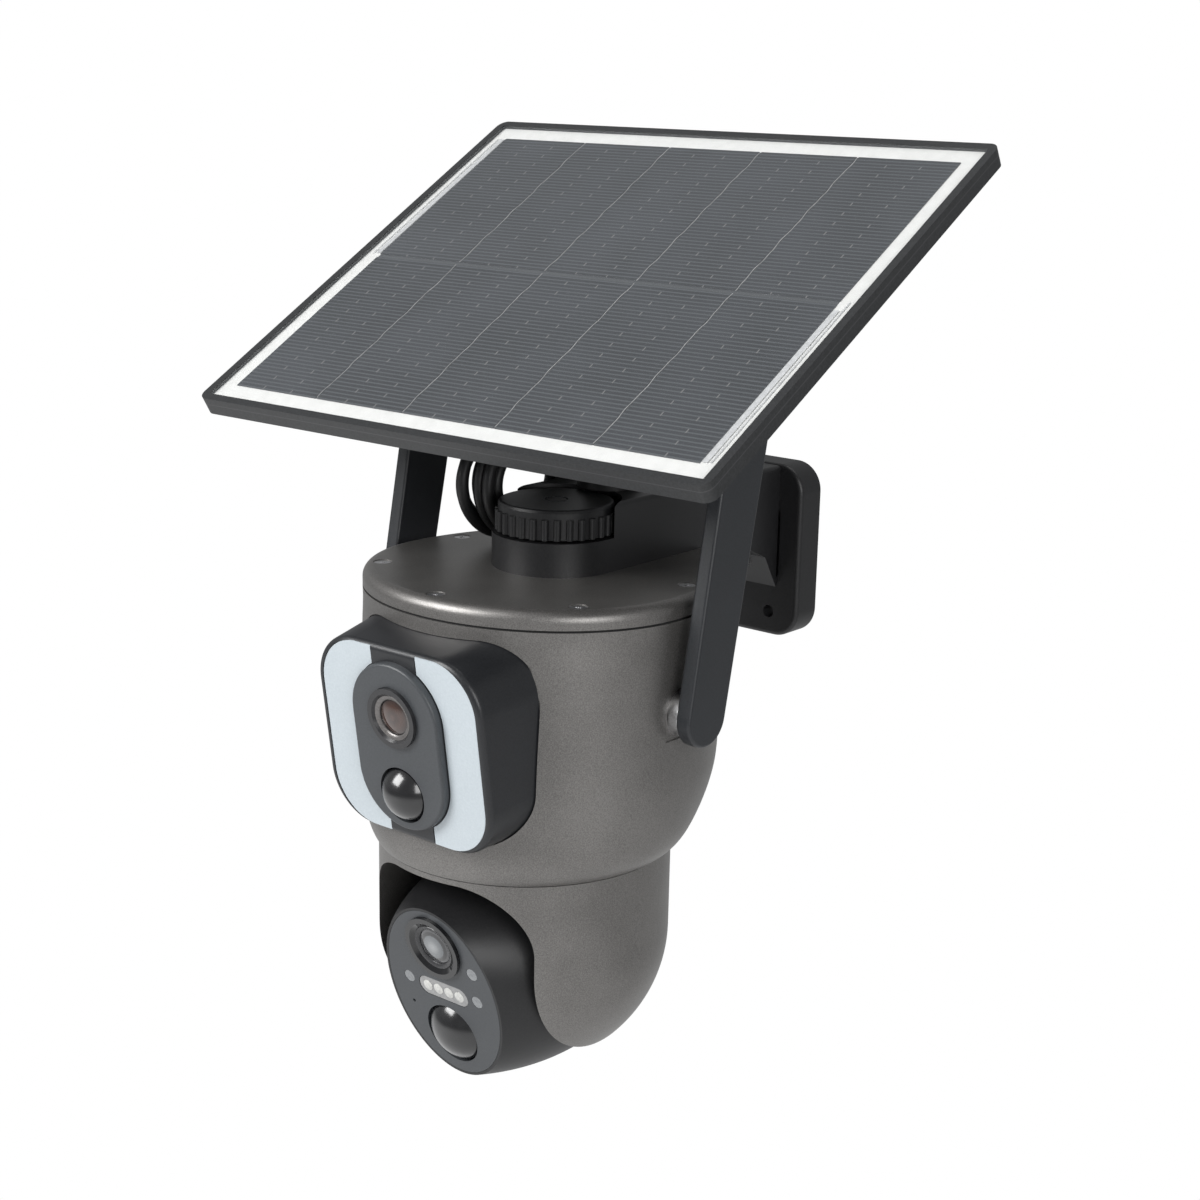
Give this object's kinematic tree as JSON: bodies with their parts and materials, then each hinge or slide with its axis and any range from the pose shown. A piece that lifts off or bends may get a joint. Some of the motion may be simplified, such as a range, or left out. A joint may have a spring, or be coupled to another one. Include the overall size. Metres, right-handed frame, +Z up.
{
  "type": "solar-powered security camera",
  "caption": "Wall-arm security camera with a tilting solar panel above, a fixed lens and light module, two folding antennas and a pan-and-tilt camera ball below.",
  "frame": {"origin": "centre of the four wall screw holes, on the wall plate's back face", "axes": "+Z up, +Y into the wall, so the camera looks along -Y; +X is to the right of someone facing the camera"},
  "size_m": [0.231, 0.2053, 0.3357],
  "materials": {
    "housing_grey": "satin, fine metallic fleck",
    "dark_grey": "satin",
    "black_plastic": "satin",
    "frame_black": "satin",
    "gloss_black": "gloss",
    "sensor_dome": "gloss",
    "lens_ring": "gloss",
    "lens_glass": "polished",
    "light_bar": "frosted",
    "clear_led": "gloss",
    "steel": "bright",
    "seal_rubber": "matt",
    "cord_black": "satin",
    "board_green": "satin",
    "cell_wrap": "satin",
    "motor_metal": "satin",
    "gear_white": "satin",
    "backsheet_white": "satin",
    "solar_cell": "gloss",
    "panel_glass": "polished"
  },
  "bodies": {
    "bracket": {"wall_plate": "black_plastic", "bracket_arm": "black_plastic", "arm_bolts": "steel", "post_base": "black_plastic", "lead_to_coil": "cord_black", "lead_to_head": "cord_black", "lead_coil": "cord_black"},
    "head": {"swivel_stud": "steel", "top_lid": "housing_grey", "lid_gasket": "seal_rubber", "lid_screws": "steel", "upper_housing": "housing_grey", "main_board": "board_green", "battery_tray": "black_plastic", "battery_cells": "cell_wrap", "speaker": "motor_metal", "pan_bearing": "gear_white", "pan_motor": "motor_metal", "module_housing": "dark_grey", "light_bars": "light_bar", "module_plate": "dark_grey", "module_lens_ring": "lens_ring", "module_lens_glass": "lens_glass", "module_camera": "black_plastic", "module_sensor_dome": "sensor_dome", "light_board": "board_green", "antenna_hubs": "steel", "antenna_nuts": "steel", "lead_plug": "cord_black"},
    "knob": {"clamp_knob": "black_plastic", "knob_insert": "steel"},
    "pan_unit": {"pan_housing": "housing_grey", "pan_gear": "gear_white", "pan_retainer": "black_plastic"},
    "pinion": {"pan_pinion": "gear_white"},
    "eye": {"eye_shell": "black_plastic", "eye_face": "gloss_black", "eye_window": "gloss_black", "eye_indicators": "clear_led", "eye_lens_ring": "lens_ring", "eye_lens_glass": "lens_glass", "eye_camera": "black_plastic", "eye_sensor_dome": "sensor_dome", "eye_light_board": "board_green", "tilt_motor": "motor_metal", "tilt_axles": "black_plastic"},
    "left_antenna": {"antenna_left": "black_plastic"},
    "right_antenna": {"antenna_right": "black_plastic"},
    "post": {"panel_post": "black_plastic"},
    "panel": {"panel_hinge": "black_plastic", "tilt_pin": "steel", "panel_frame": "frame_black", "panel_back": "black_plastic", "panel_backsheet": "backsheet_white", "solar_cells": "solar_cell", "panel_glass": "panel_glass", "junction_box": "black_plastic", "cable_gland": "black_plastic", "panel_screws": "steel"},
    "wing_nut": {"tilt_wing_nut": "black_plastic"}
  },
  "joints": [
    {"name": "head_swivel", "type": "hinge", "parent": "bracket", "child": "head", "pos_m": [0, -0.11985, 0.02], "axis": [0, 0, 1], "range_deg": [-20, 20]},
    {"name": "knob_turn", "type": "hinge", "parent": "bracket", "child": "knob", "pos_m": [0, -0.11985, 0.028], "axis": [0, 0, 1], "range_deg": [-90, 90]},
    {"name": "pan", "type": "hinge", "parent": "head", "child": "pan_unit", "pos_m": [0, -0.1345, -0.1], "axis": [0, 0, 1], "range_deg": [-175, 175]},
    {"name": "pinion_spin", "type": "hinge", "parent": "head", "child": "pinion", "pos_m": [0, -0.09815, -0.08], "axis": [0, 0, 1], "range_deg": [-880, 880]},
    {"name": "tilt", "type": "hinge", "parent": "pan_unit", "child": "eye", "pos_m": [0, -0.1345, -0.133], "axis": [1, 0, 0], "range_deg": [-12, 50]},
    {"name": "left_antenna_fold", "type": "hinge", "parent": "head", "child": "left_antenna", "pos_m": [-0.0695, -0.127, -0.031], "axis": [-1, 0, 0], "range_deg": [-5, 45]},
    {"name": "right_antenna_fold", "type": "hinge", "parent": "head", "child": "right_antenna", "pos_m": [0.0695, -0.127, -0.031], "axis": [-1, 0, 0], "range_deg": [-5, 45]},
    {"name": "panel_swivel", "type": "hinge", "parent": "bracket", "child": "post", "pos_m": [0, -0.09, 0.05], "axis": [0, 0, 1], "range_deg": [-18, 18]},
    {"name": "panel_tilt", "type": "hinge", "parent": "post", "child": "panel", "pos_m": [0, -0.09, 0.08685], "axis": [1, 0, 0], "range_deg": [-30, 12]},
    {"name": "wing_nut_turn", "type": "hinge", "parent": "panel", "child": "wing_nut", "pos_m": [0.016, -0.09, 0.08685], "axis": [1, 0, 0], "range_deg": [-90, 90]}
  ],
  "couplings": [
    {"joint": "pinion_spin", "follows": "pan", "ratio": -5}
  ]
}
